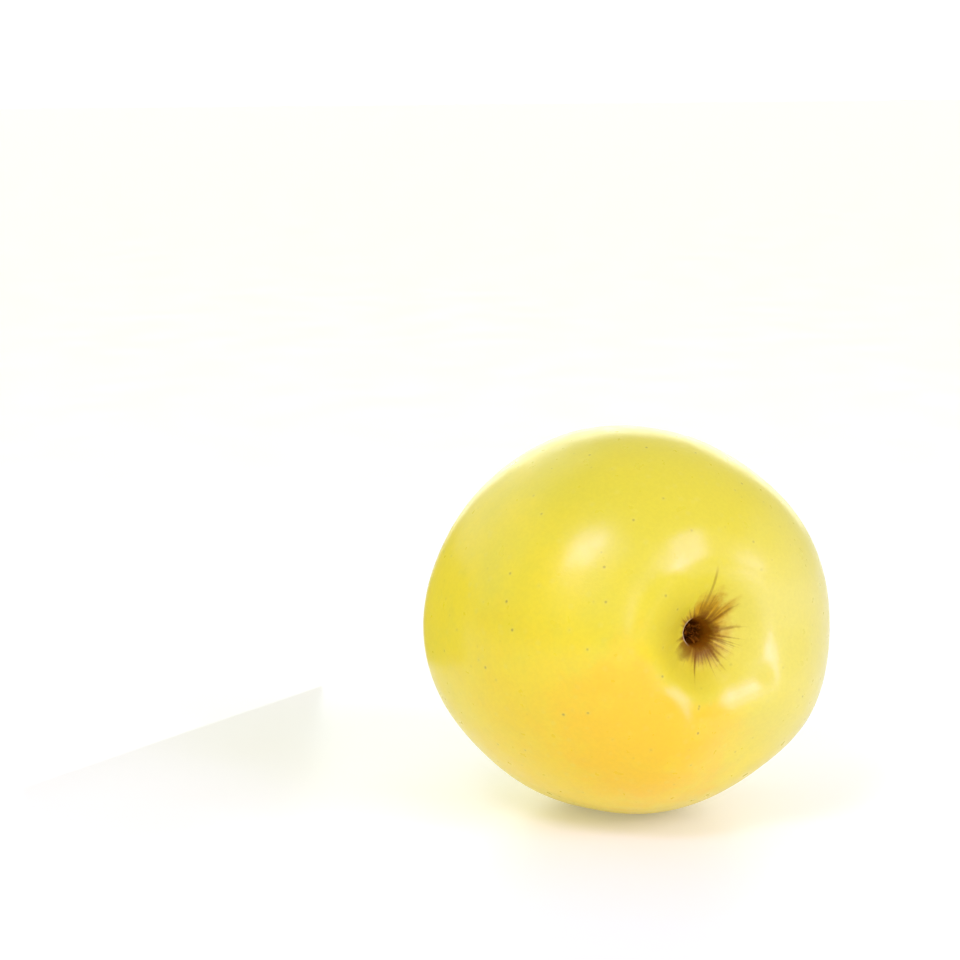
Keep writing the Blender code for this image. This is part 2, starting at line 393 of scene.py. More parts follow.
@dataclass(frozen=True)
class FruitForm:
    """The fruit's form in its own frame, where +Z runs from the calyx to the stem."""

    equator_radius: float = 0.040
    half_length: float = 0.036
    squareness: float = 2.34
    taper_to_calyx: float = 0.064
    stem_cavity: Dimple = Dimple(0.0130, 0.0093, 1.6)
    stem_socket: Dimple = Dimple(0.0040, 0.00195, 8.0)
    calyx_basin: Dimple = Dimple(0.0080, 0.0090, 2.0)
    calyx_tube: Dimple = Dimple(0.0065, 0.0030, 8.0)
    lobe_count: int = 5
    lobe_angle: float = math.radians(70.5)
    lobe_strong_side: float = math.radians(251.5)
    lobe_unevenness: float = 0.8
    crown_swell: float = 0.0235
    crown_rise: float = 0.00088
    shoulder_swell: float = 0.0175
    shoulder_rise: float = 0.0009
    lobe_onset: float = 1.5
    lobe_fade_radius: float = 0.015
    lobe_fade_power: float = 3.0
    girth_waves: tuple[GirthWave, ...] = (
        GirthWave(2, 0.0213, math.radians(6.5)),
        GirthWave(3, 0.0041, math.radians(100.3)),
        GirthWave(4, 0.0083, math.radians(-1.3)),
    )
    shoulder_lean: float = 0.030
    shoulder_lean_angle: float = math.radians(200)
    blossom_end_rise: float = math.radians(6.4)
    stem_gap: float = 0.0011
    calyx_gap: float = 0.0008

    def turned(self, angle: float) -> Vector:
        """The turned form at an angle from the stem end, before its lobes.

        Args:
            angle: the angle in radians, pi at the calyx.

        Returns:
            The point in the plane of x and z.
        """
        cosine = math.cos(angle)
        height = self.half_length * math.copysign(abs(cosine) ** (2 / self.squareness), cosine)
        radius = self.equator_radius * math.sin(angle) ** (2 / self.squareness)
        radius *= 1 + self.taper_to_calyx * height / self.half_length
        if height > 0:
            height -= self.stem_cavity.sink(radius) + self.stem_socket.sink(radius)
        else:
            height += self.calyx_basin.sink(radius) + self.calyx_tube.sink(radius)
        return Vector((radius, 0.0, height))

    def profile(self, finest: float, growth: float, samples: int = 6000) -> list[Vector]:
        """The profile from the stem's socket to the calyx tube.

        Args:
            finest: spacing of the points at the axis.
            growth: how much the spacing grows with the distance from the axis.
            samples: points that the even spacing is read from.

        Returns:
            The points, the first and the last on the axis.
        """
        fine = [self.turned(math.pi * i / samples) for i in range(samples + 1)]
        travelled = [0.0]
        for here, there in zip(fine, fine[1:]):
            travelled.append(travelled[-1] + (there - here).length / (finest + growth * here.x))
        ring_count = round(travelled[-1])
        points = []
        index = 0
        for ring in range(ring_count + 1):
            target = travelled[-1] * ring / ring_count
            while index < samples - 1 and travelled[index + 1] < target:
                index += 1
            share = (target - travelled[index]) / (travelled[index + 1] - travelled[index])
            points.append(fine[index].lerp(fine[index + 1], min(share, 1.0)))
        points[0].x = 0.0
        points[-1].x = 0.0
        return points

    def lobe_wave(self, angle: float) -> float:
        """From a crest to a valley of the five lobes, which are strongest on one side."""
        strength = 1 + self.lobe_unevenness * math.cos(angle - self.lobe_strong_side)
        return strength * math.cos(self.lobe_count * (angle - self.lobe_angle))

    def uneven(self, point: Vector) -> Vector:
        """Moves a point of the turned form to the lobed, slightly lopsided fruit.

        Args:
            point: a point of the turned form.

        Returns:
            The point on the fruit.
        """
        radius = math.hypot(point.x, point.y)
        angle = math.atan2(point.y, point.x)
        off_axis = 1 - math.exp(-((radius / self.lobe_fade_radius) ** self.lobe_fade_power))
        calyx_share = max(-point.z / self.half_length, 0.0) ** self.lobe_onset
        stem_share = max(point.z / self.half_length, 0.0) ** self.lobe_onset
        wave = self.lobe_wave(angle) * off_axis
        girth = 1 + (self.crown_swell * calyx_share + self.shoulder_swell * stem_share) * wave
        for each in self.girth_waves:
            girth += each.share * math.cos(each.count * (angle - each.crest))
        rise = (self.shoulder_rise * stem_share - self.crown_rise * calyx_share) * wave
        lean = self.shoulder_lean * stem_share * radius * math.cos(angle - self.shoulder_lean_angle)
        return Vector((point.x * girth, point.y * girth, point.z + rise + lean * off_axis))

    def lying(self, low: Vector, high: Vector, turns: int = 90, steps: int = 180) -> Matrix:
        """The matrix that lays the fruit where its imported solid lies.

        Args:
            low: the solid's lowest corner.
            high: its highest corner.
            turns: directions around the axis in which the form's own reach is tried.
            steps: points along the profile where it is tried.

        Returns:
            The matrix from the fruit's own frame to the row frame.
        """
        turn = Matrix.Rotation(math.pi, 4, "Z") @ Matrix.Rotation(math.pi / 2 + self.blossom_end_rise, 4, "X")
        reach = []
        for step in range(steps + 1):
            ring = self.turned(math.pi * step / steps)
            for index in range(turns):
                around = Matrix.Rotation(2 * math.pi * index / turns, 3, "Z")
                reach.append(turn @ self.uneven(around @ ring))
        middle_x = (min(p.x for p in reach) + max(p.x for p in reach)) / 2
        middle_y = (min(p.y for p in reach) + max(p.y for p in reach)) / 2
        top = max(p.z for p in reach)
        centre = (low + high) / 2
        return Matrix.Translation((centre.x - middle_x, centre.y - middle_y, high.z - top)) @ turn

    def stem_root(self) -> float:
        """Height along the axis of the stem's lower end, just above the floor of its socket."""
        return self.half_length - self.stem_cavity.depth - self.stem_socket.depth + self.stem_gap

    def calyx_root(self) -> float:
        """Height along the axis of the foot of the calyx, just clear of the floor of its tube."""
        return -(self.half_length - self.calyx_basin.depth - self.calyx_tube.depth) - self.calyx_gap


@dataclass(frozen=True)
class RaySet:
    """Brown spikes round the calyx tube: how many in a full turn, how thick in millimetres, and their seed.

    Lengths along a spike are shares, with 0 at the tube and 1 where the russet ends.
    """

    count: int
    thickness: float
    seed: float
    sway_scale: float = 1.6
    sway: float = 3.0
    drift: float = 0.03
    length_spread: float = 0.60
    taper: Span = (1.05, -0.2)
    tip_thickness: float = 0.02
    soft_edge: Span = (1.1, 0.2)
    fade: Span = (1.0, 0.10)

    def cover(self, graph: Graph, radius: Socket, around: Socket, edge: Socket) -> Socket:
        """Spikes of uneven length that run outwards from the axis and taper off.

        Args:
            graph: the skin's node tree.
            radius: distance from the axis.
            around: direction from the axis.
            edge: 0 at the calyx tube and 1 where the russet ends.

        Returns:
            How much of the surface the spikes cover.
        """
        x, y, _ = graph.parts(around)
        turn = graph.math("DIVIDE", graph.math("ARCTAN2", y, x), 2 * math.pi)
        drift = graph.combine(self.seed, self.seed, graph.math("MULTIPLY", radius, self.drift))
        sway = graph.noise(graph.vector("ADD", graph.scaled(around, self.sway_scale), drift), 1.0, 1.0)
        steps = graph.math("MULTIPLY", turn, self.count)
        steps = graph.math("ADD", steps, graph.math("MULTIPLY", sway, self.sway))
        number = graph.math("FLOORED_MODULO", graph.math("FLOOR", steps), self.count)
        off = graph.math("ABSOLUTE", graph.math("SUBTRACT", graph.math("FRACT", steps), 0.5))
        off = graph.math("MULTIPLY", graph.math("MULTIPLY", off, 2 * math.pi / self.count), radius)
        chance = graph.chance(graph.math("ADD", number, self.seed))
        spread = graph.math("MULTIPLY", chance, self.length_spread)
        beyond = graph.math("SUBTRACT", graph.math("ADD", edge, spread), self.length_spread / 2)
        slim = graph.ease(beyond, *self.taper, self.tip_thickness, self.thickness)
        line = graph.ease(graph.math("DIVIDE", off, slim), *self.soft_edge)
        return graph.math("MULTIPLY", line, graph.ease(beyond, *self.fade))


@dataclass(frozen=True)
class SkinFinish:
    """The waxy skin: green and golden ground, orange blush, specks, and russet round the calyx, with a
    painted reflection on one flank, painted shade in the calyx basin and a painted highlight on the calyx
    tube's lip.

    A side is a unit vector in the fruit's own frame. A bearing is an angle round its axis in degrees.
    Radii and reaches are millimetres from the axis, and a span runs from its first value to its last.
    """

    lime: Colour = (0.77, 0.668, 0.036)
    golden: Colour = (0.89, 0.725, 0.022)
    orange: Colour = (0.93, 0.600, 0.012)
    # pale colours the flecks and the lenticels' rings, and also the painted reflection on one flank.
    pale: Colour = (0.82, 0.74, 0.14)
    leaf_green: Colour = (0.52, 0.56, 0.045)
    speck: Colour = (0.20, 0.14, 0.03)
    amber: Colour = (0.55, 0.285, 0.008)
    # olive is the colour of the painted shade in the calyx basin.
    olive: Colour = (0.54, 0.42, 0.018)
    russet: Colour = (0.20, 0.075, 0.003)
    bronze: Colour = (0.34, 0.20, 0.010)
    mauve: Colour = (0.21, 0.080, 0.004)
    # Pale colour of the highlight painted on the calyx tube's lip.
    painted_lip_highlight: Colour = (0.70, 0.52, 0.28)
    tube: Colour = (0.48, 0.160, 0.003)

    calyx_half: Span = (0.0, -10.0)
    refraction: float = 1.45
    flesh_glow: float = 0.12
    flesh_depth: float = 0.004
    flesh_reach: Triple = (1.0, 0.7, 0.2)
    roughness: float = 0.31
    roughness_change: Span = (-0.04, 0.05)
    speck_roughness: float = 0.2
    coat: float = 0.30
    coat_roughness: float = 0.19
    specular: float = 0.5
    gloss_scale: float = 0.35
    gloss_span: Span = (0.25, 0.75)
    matt_radius: float = 13.5
    matt_border: float = 3.0
    matt_bearing: float = 25.0
    matt_bulge_span: Span = (0.62, 0.95)
    matt_bulge: float = 4.5
    matt_share: float = 0.75
    matt_dulling: float = 0.42
    matt_roughness: float = 0.30

    green_side: Triple = (-0.45, 0.75, -0.48)
    cloud_scale: float = 0.055
    green_clouds: float = 1.6
    green_span: Span = (-0.25, 0.65)
    mottle_scale: float = 0.21
    mottle_span: Span = (0.45, 0.8)
    mottle_share: float = 0.45
    blush_side: Triple = (0.25, -0.51, -0.82)
    rag_scale: float = 0.085
    blush_rags: float = 0.42
    blush_span: Span = (0.77, 1.00)
    blush_radius: Span = (12.0, 16.0)
    glow_side: Triple = (0.62, -0.56, -0.55)
    glow_rags: float = 0.5
    glow_span: Span = (0.66, 1.06)
    glow_share: float = 0.45
    # A paler flank: a painted reflection of the bright studio on that side.
    painted_reflection_side: Triple = (-0.76, -0.14, -0.63)
    painted_reflection_clouds: float = 0.35
    painted_reflection_span: Span = (0.55, 1.0)
    painted_reflection_share: float = 0.80

    fleck_scale: float = 0.42
    fleck_size: Span = (0.34, 0.12)
    fleck_share: float = 0.14
    fleck_rarity: Span = (0.35, 0.8)
    grain_scale: float = 1.3
    grain_span: Span = (0.3, 0.7)
    grain_shades: Span = (0.98, 1.015)
    lenticel_scale: float = 0.29
    lenticel_shift: Triple = (31.0, 7.0, 3.0)
    lenticel_ring: Span = (0.27, 0.10)
    lenticel_ring_share: float = 0.14
    lenticel_ring_rarity: Span = (0.3, 0.6)
    lenticel_size: Span = (0.125, 0.030)
    lenticel_rarity: Span = (0.3, 0.95)
    lenticel_shares: Span = (0.10, 0.55)

    hollow_radius: Span = (17.0, 6.0)
    hollow_share: float = 0.75
    tan_radius: Span = (8.0, 5.0)
    tan_scale: float = 0.45
    tan_rags: float = 6.0
    tan_share: float = 0.8

    tube_radius: float = 3.0
    tube_edge: Span = (3.6, 2.7)
    reach_mean: float = 6.7
    reach_short_bearing: float = 20.0
    reach_shortening: float = 1.8
    reach_long_bearing: float = 95.0
    reach_lengthening: float = 1.8
    reach_scale: float = 2.6
    reach_unevenness: float = 6.0
    # The basin's painted shade: its bearing, its strengths and the radii where it fades.
    shade_bearing: float = 330.0
    shade_bearing_span: Span = (-0.5, 0.8)
    shade_shares: Span = (0.10, 0.52)
    shade_radius: Span = (16.0, 7.0)
    wash_scale: float = 0.8
    wash_rags: float = 0.6
    wash_length: float = 0.80
    wash_share: float = 0.88
    rusty_bearing: float = 117.0
    rusty_bearing_span: Span = (0.55, 1.0)
    rusty_lengthening: float = 0.42
    broad_rays: RaySet = RaySet(17, 0.92, 4.0)
    fine_rays: RaySet = RaySet(33, 0.40, 9.0)
    fine_ray_share: float = 0.7
    ray_share: float = 0.86
    ray_colours: Span = (0.1, 0.9)
    long_ray_bearing: float = 101.0
    long_ray_bearing_span: Span = (0.5, 0.9)
    long_ray_width: Span = (0.42, 0.12)
    long_ray_end: Span = (14.5, 11.0)
    long_ray_share: float = 0.6
    throat_span: Span = (0.30, 0.0)
    throat_share: float = 0.80
    mauve_bearing: float = 262.0
    mauve_bearing_span: Span = (0.62, 1.0)
    mauve_radius: Span = (6.3, 4.0)
    mauve_share: float = 0.75
    # The painted highlight on the tube's lip: its radius, width, bearing and strength.
    rim_radius: float = 3.55
    rim_width: Span = (0.28, 0.08)
    rim_bearing: float = 12.0
    rim_bearing_span: Span = (0.45, 0.9)
    rim_share: float = 0.7

    relief_depth: float = 0.0003
    pore_scale: float = 2.6
    pore_height: float = 0.06
    crack_scale: float = 3.8
    crack_height: float = 0.6
    speck_sinking: float = 0.10

    def material(self) -> bpy.types.Material:
        """The finished skin.

        Returns:
            The material, which reads the mesh's attribute "place".
        """
        graph = Graph("apple_skin")
        place = graph.attribute("place")
        x, y, z = graph.parts(place)
        flat = graph.combine(x, y, 0.0)
        radius = graph.vector("LENGTH", flat)
        around = graph.vector("NORMALIZE", flat)
        calyx_end = graph.ease(z, *self.calyx_half)
        colour = self.ground(graph, place, radius)
        colour = self.flecks(graph, place, colour)
        speck, colour = self.lenticels(graph, place, colour)
        colour = self.stem_hollow(graph, place, radius, calyx_end, colour)
        rough_patch, colour = self.calyx_russet(graph, place, radius, around, calyx_end, colour)
        graph.set(Base_Color=colour, IOR=self.refraction)
        graph.set(Subsurface_Weight=self.flesh_glow, Subsurface_Scale=self.flesh_depth)
        graph.shader.inputs["Subsurface Radius"].default_value = self.flesh_reach
        dry = self.dryness(graph, radius, around, calyx_end, rough_patch)
        waxy = graph.math("MULTIPLY", graph.math("SUBTRACT", 1.0, dry, clamp=True), self.coat)
        graph.set(Coat_Weight=waxy, Coat_Roughness=self.coat_roughness)
        dull = graph.math("MULTIPLY", dry, self.matt_dulling)
        graph.set(Specular_IOR_Level=graph.math("SUBTRACT", self.specular, dull))
        least, most = (self.roughness + change for change in self.roughness_change)
        gloss = graph.ease(graph.noise(place, self.gloss_scale, 3.0), *self.gloss_span, least, most)
        gloss = graph.math("ADD", gloss, graph.math("MULTIPLY", dry, self.matt_roughness))
        gloss = graph.math("ADD", gloss, graph.math("MULTIPLY", speck, self.speck_roughness), clamp=True)
        graph.set(Roughness=gloss, Normal=self.relief(graph, place, speck, rough_patch))
        return graph.material

    def dryness(
        self, graph: Graph, radius: Socket, around: Socket, calyx_end: Socket, rough_patch: Socket
    ) -> Socket:
        """How matt the skin is: in the calyx basin, a little further out on one side, and on the russet.

        Args:
            graph: the skin's node tree.
            radius: distance from the axis.
            around: direction from the axis.
            calyx_end: 1 on the half where the calyx is.
            rough_patch: how much of the surface is russet.

        Returns:
            The share of the gloss that is gone.
        """
        ahead = graph.toward(around, self.matt_bearing)
        bulge = graph.ease(ahead, *self.matt_bulge_span, 0.0, self.matt_bulge)
        rim = graph.math("ADD", bulge, self.matt_radius)
        dry = graph.ease(radius, rim, graph.math("SUBTRACT", rim, self.matt_border))
        dry = graph.math("MULTIPLY", dry, calyx_end)
        return graph.math("MAXIMUM", rough_patch, graph.math("MULTIPLY", dry, self.matt_share))

    def ground(self, graph: Graph, place: Socket, radius: Socket) -> Socket:
        """Lime above and on one flank, golden elsewhere, with cloudy borders, an orange blush, and a paler
        flank that is a painted reflection.

        The blush ends at the crest of the calyx basin.

        Args:
            graph: the skin's node tree.
            place: the place on the turned form, in millimetres.
            radius: distance from the axis.

        Returns:
            The colour.
        """
        outside = graph.ease(radius, *self.blush_radius)
        side = graph.vector("NORMALIZE", place)
        clouds = graph.math("SUBTRACT", graph.noise(place, self.cloud_scale, 3.0), 0.5)
        green = graph.vector("DOT_PRODUCT", side, self.green_side)
        green = graph.math("ADD", green, graph.math("MULTIPLY", clouds, self.green_clouds))
        colour = graph.tint(graph.ease(green, *self.green_span), self.golden, self.lime)
        mottle = graph.noise(place, self.mottle_scale, 4.0, 0.6)
        colour = graph.tint(graph.ease(mottle, *self.mottle_span, 0.0, self.mottle_share), colour, self.lime)
        ragged = graph.math("SUBTRACT", graph.noise(place, self.rag_scale, 4.0, 0.6), 0.5)
        core = graph.vector("DOT_PRODUCT", side, self.blush_side)
        core = graph.math("ADD", core, graph.math("MULTIPLY", ragged, self.blush_rags))
        core = graph.math("MULTIPLY", graph.ease(core, *self.blush_span), outside)
        glow = graph.vector("DOT_PRODUCT", side, self.glow_side)
        glow = graph.math("ADD", glow, graph.math("MULTIPLY", ragged, self.glow_rags))
        glow = graph.math("MULTIPLY", graph.ease(glow, *self.glow_span, 0.0, self.glow_share), outside)
        colour = graph.tint(glow, colour, self.orange)
        colour = graph.tint(core, colour, self.orange)
        # Painted reflection: one flank is paled towards a washed-out yellow, standing in for the broad
        # reflection of the bright studio there.
        pale = graph.vector("DOT_PRODUCT", side, self.painted_reflection_side)
        pale = graph.math("ADD", pale, graph.math("MULTIPLY", clouds, self.painted_reflection_clouds))
        return graph.tint(graph.ease(pale, *self.painted_reflection_span, 0.0, self.painted_reflection_share), colour, self.pale)

    def flecks(self, graph: Graph, place: Socket, colour: Socket) -> Socket:
        """Fine pale flecks under the skin and a faint grain.

        Args:
            graph: the skin's node tree.
            place: the place on the turned form, in millimetres.
            colour: the colour so far.

        Returns:
            The colour with the flecks.
        """
        distance, chance = graph.cells(place, self.fleck_scale)
        fleck = graph.ease(distance, *self.fleck_size, 0.0, self.fleck_share)
        fleck = graph.math("MULTIPLY", fleck, graph.ease(chance, *self.fleck_rarity))
        colour = graph.tint(fleck, colour, self.pale)
        shade = graph.ease(graph.noise(place, self.grain_scale, 2.0), *self.grain_span, *self.grain_shades)
        return graph.tint(1.0, colour, graph.combine(shade, shade, shade), "MULTIPLY")

    def lenticels(self, graph: Graph, place: Socket, colour: Socket) -> tuple[Socket, Socket]:
        """Scattered olive brown specks, each in a faint pale ring.

        Args:
            graph: the skin's node tree.
            place: the place on the turned form, in millimetres.
            colour: the colour so far.

        Returns:
            How much of the surface is speck, and the colour.
        """
        shifted = graph.vector("ADD", place, self.lenticel_shift)
        distance, chance = graph.cells(shifted, self.lenticel_scale)
        ring = graph.ease(distance, *self.lenticel_ring, 0.0, self.lenticel_ring_share)
        ring = graph.math("MULTIPLY", ring, graph.ease(chance, *self.lenticel_ring_rarity))
        colour = graph.tint(ring, colour, self.pale)
        strength = graph.ease(chance, *self.lenticel_rarity, *self.lenticel_shares)
        speck = graph.math("MULTIPLY", graph.ease(distance, *self.lenticel_size), strength)
        return speck, graph.tint(speck, colour, self.speck)

    def stem_hollow(
        self, graph: Graph, place: Socket, radius: Socket, calyx_end: Socket, colour: Socket
    ) -> Socket:
        """A greener hollow round the stem, with a little tan russet at its bottom.

        Args:
            graph: the skin's node tree.
            place: the place on the turned form, in millimetres.
            radius: distance from the axis.
            calyx_end: 1 on the half where the calyx is.
            colour: the colour so far.

        Returns:
            The colour with the hollow.
        """
        stem_end = graph.math("SUBTRACT", 1.0, calyx_end)
        hollow = graph.math("MULTIPLY", graph.ease(radius, *self.hollow_radius), stem_end)
        colour = graph.tint(graph.math("MULTIPLY", hollow, self.hollow_share), colour, self.leaf_green)
        rags = graph.math("MULTIPLY", graph.noise(place, self.tan_scale, 3.0), self.tan_rags)
        tan = graph.ease(graph.math("ADD", radius, rags), *self.tan_radius)
        tan = graph.math("MULTIPLY", tan, stem_end)
        return graph.tint(graph.math("MULTIPLY", tan, self.tan_share), colour, self.amber)

    def calyx_russet(
        self, graph: Graph, place: Socket, radius: Socket, around: Socket, calyx_end: Socket, colour: Socket
    ) -> tuple[Socket, Socket]:
        """Painted shade on the calyx basin's wall, a rusty wash and thin brown rays round the calyx tube, and
        its dark inside.

        Args:
            graph: the skin's node tree.
            place: the place on the turned form, in millimetres.
            radius: distance from the axis.
            around: direction from the axis.
            calyx_end: 1 on the half where the calyx is.
            colour: the colour so far.

        Returns:
            How much of the surface is rough, and the colour.
        """
        # Painted shade: the basin's wall is tinted towards a darker olive, most on its lower left, where the
        # studio light reaches less.
        painted_shade = graph.ease(
            graph.toward(around, self.shade_bearing), *self.shade_bearing_span, *self.shade_shares
        )
        painted_shade = graph.math("MULTIPLY", painted_shade, graph.ease(radius, *self.shade_radius))
        colour = graph.tint(graph.math("MULTIPLY", painted_shade, calyx_end), colour, self.olive)
        beyond_tube = graph.math("SUBTRACT", radius, self.tube_radius)
        length = graph.math("SUBTRACT", self.russet_reach(graph, around), self.tube_radius)
        travel = graph.math("DIVIDE", beyond_tube, length)
        cloud = graph.math("SUBTRACT", graph.noise(place, self.wash_scale, 3.0, 0.6), 0.5)
        edge = graph.math("ADD", travel, graph.math("MULTIPLY", cloud, self.wash_rags))
        rusty = graph.ease(
            graph.toward(around, self.rusty_bearing), *self.rusty_bearing_span, 0.0, self.rusty_lengthening
        )
        wash = graph.ease(edge, graph.math("ADD", rusty, self.wash_length), rusty)
        wash = graph.math("MULTIPLY", wash, calyx_end)
        colour = graph.tint(graph.math("MULTIPLY", wash, self.wash_share), colour, self.amber)
        broad = self.broad_rays.cover(graph, radius, around, edge)
        fine = self.fine_rays.cover(graph, radius, around, edge)
        ray = graph.math("MAXIMUM", broad, graph.math("MULTIPLY", fine, self.fine_ray_share))
        ray = graph.math("MAXIMUM", ray, self.long_ray(graph, radius, around))
        ray = graph.math("MULTIPLY", ray, calyx_end)
        brown = graph.tint(graph.ease(travel, *self.ray_colours), self.russet, self.bronze)
        colour = graph.tint(graph.math("MULTIPLY", ray, self.ray_share), colour, brown)
        throat = graph.math("MULTIPLY", graph.ease(edge, *self.throat_span), calyx_end)
        colour = graph.tint(graph.math("MULTIPLY", throat, self.throat_share), colour, self.russet)
        inside = graph.math("MULTIPLY", graph.ease(radius, *self.tube_edge), calyx_end)
        colour = self.calyx_lip(graph, radius, around, calyx_end, inside, colour)
        rough = graph.math("MAXIMUM", graph.math("MAXIMUM", wash, ray), inside)
        return rough, colour

    def calyx_lip(
        self, graph: Graph, radius: Socket, around: Socket, calyx_end: Socket, inside: Socket, colour: Socket
    ) -> Socket:
        """The mauve patch below the calyx tube, the tube's dark inside and a thin pale line painted on its
        lip as a highlight.

        Args:
            graph: the skin's node tree.
            radius: distance from the axis.
            around: direction from the axis.
            calyx_end: 1 on the half where the calyx is.
            inside: 1 inside the tube.
            colour: the colour so far.

        Returns:
            The colour with all three.
        """
        below = graph.ease(graph.toward(around, self.mauve_bearing), *self.mauve_bearing_span)
        below = graph.math("MULTIPLY", below, graph.ease(radius, *self.mauve_radius))
        below = graph.math("MULTIPLY", graph.math("MULTIPLY", below, calyx_end), self.mauve_share)
        colour = graph.tint(below, colour, self.mauve)
        colour = graph.tint(inside, colour, self.tube)
        # Painted highlight: a thin pale line along the tube's lip, strongest towards one bearing.
        off = graph.math("ABSOLUTE", graph.math("SUBTRACT", radius, self.rim_radius))
        ahead = graph.toward(around, self.rim_bearing)
        stretch = graph.ease(ahead, *self.rim_bearing_span, 0.0, self.rim_share)
        rim = graph.math("MULTIPLY", graph.ease(off, *self.rim_width), stretch)
        return graph.tint(graph.math("MULTIPLY", rim, calyx_end), colour, self.painted_lip_highlight)

    def russet_reach(self, graph: Graph, around: Socket) -> Socket:
        """How far the russet reaches in each direction.

        Args:
            graph: the skin's node tree.
            around: direction from the axis.

        Returns:
            The reach in millimetres from the axis.
        """
        ahead = graph.toward(around, self.reach_short_bearing)
        reach = graph.math("ADD", graph.math("MULTIPLY", ahead, -self.reach_shortening), self.reach_mean)
        upright = graph.toward(around, self.reach_long_bearing)
        longer = graph.math("MULTIPLY", graph.math("MULTIPLY", upright, upright), self.reach_lengthening)
        slow = graph.math("SUBTRACT", graph.noise(graph.scaled(around, self.reach_scale), 1.0, 1.0), 0.5)
        reach = graph.math("ADD", reach, longer)
        return graph.math("ADD", reach, graph.math("MULTIPLY", slow, self.reach_unevenness))

    def long_ray(self, graph: Graph, radius: Socket, around: Socket) -> Socket:
        """The one thin ray that runs on over the edge of the basin.

        Args:
            graph: the skin's node tree.
            radius: distance from the axis.
            around: direction from the axis.

        Returns:
            How much of the surface the ray covers.
        """
        off = graph.math("ABSOLUTE", graph.toward(around, self.long_ray_bearing + 90))
        line = graph.ease(graph.math("MULTIPLY", off, radius), *self.long_ray_width)
        line = graph.math("MULTIPLY", line, graph.ease(radius, *self.long_ray_end))
        ahead = graph.toward(around, self.long_ray_bearing)
        ahead = graph.ease(ahead, *self.long_ray_bearing_span, 0.0, self.long_ray_share)
        return graph.math("MULTIPLY", line, ahead)

    def relief(self, graph: Graph, place: Socket, speck: Socket, rough_patch: Socket) -> Socket:
        """The skin's fine pores, its sunken specks and the cracked russet.

        Args:
            graph: the skin's node tree.
            place: the place on the turned form, in millimetres.
            speck: how much of the surface is speck.
            rough_patch: how much of the surface is russet.

        Returns:
            The bumped normal.
        """
        pores = graph.math("MULTIPLY", graph.noise(place, self.pore_scale, 2.0), self.pore_height)
        cracks = graph.math("MULTIPLY", graph.noise(place, self.crack_scale, 3.0), rough_patch)
        height = graph.math("ADD", pores, graph.math("MULTIPLY", cracks, self.crack_height))
        height = graph.math("SUBTRACT", height, graph.math("MULTIPLY", speck, self.speck_sinking))
        return graph.bump(height, self.relief_depth)


@dataclass(frozen=True)
class RimWave:
    """A slow wave round the basin's rim. Its crest is an angle, the rest is its count and its size."""

    count: int
    crest: float
    size: float

    def at(self, angle: float) -> float:
        """The wave's height at an angle."""
        return self.size * math.cos(self.count * (angle - self.crest))


@dataclass(frozen=True)
class Knob:
    """A low oval swelling of the crown, placed by its angle and its distance from the axis."""

    angle: float
    radius: float
    height: float
    width: float
    length: float
    slant: float

    def at(self, x: float, y: float) -> float:
        """The knob's height at a point.

        Args:
            x: the point's first place across the axis.
            y: its second place across the axis.

        Returns:
            The height, which falls off like a bell.
        """
        off_x = x - self.radius * math.cos(self.angle)
        off_y = y - self.radius * math.sin(self.angle)
        across = off_x * math.cos(self.slant) + off_y * math.sin(self.slant)
        along = off_y * math.cos(self.slant) - off_x * math.sin(self.slant)
        return self.height * math.exp(-((across / self.width) ** 2) - (along / self.length) ** 2)


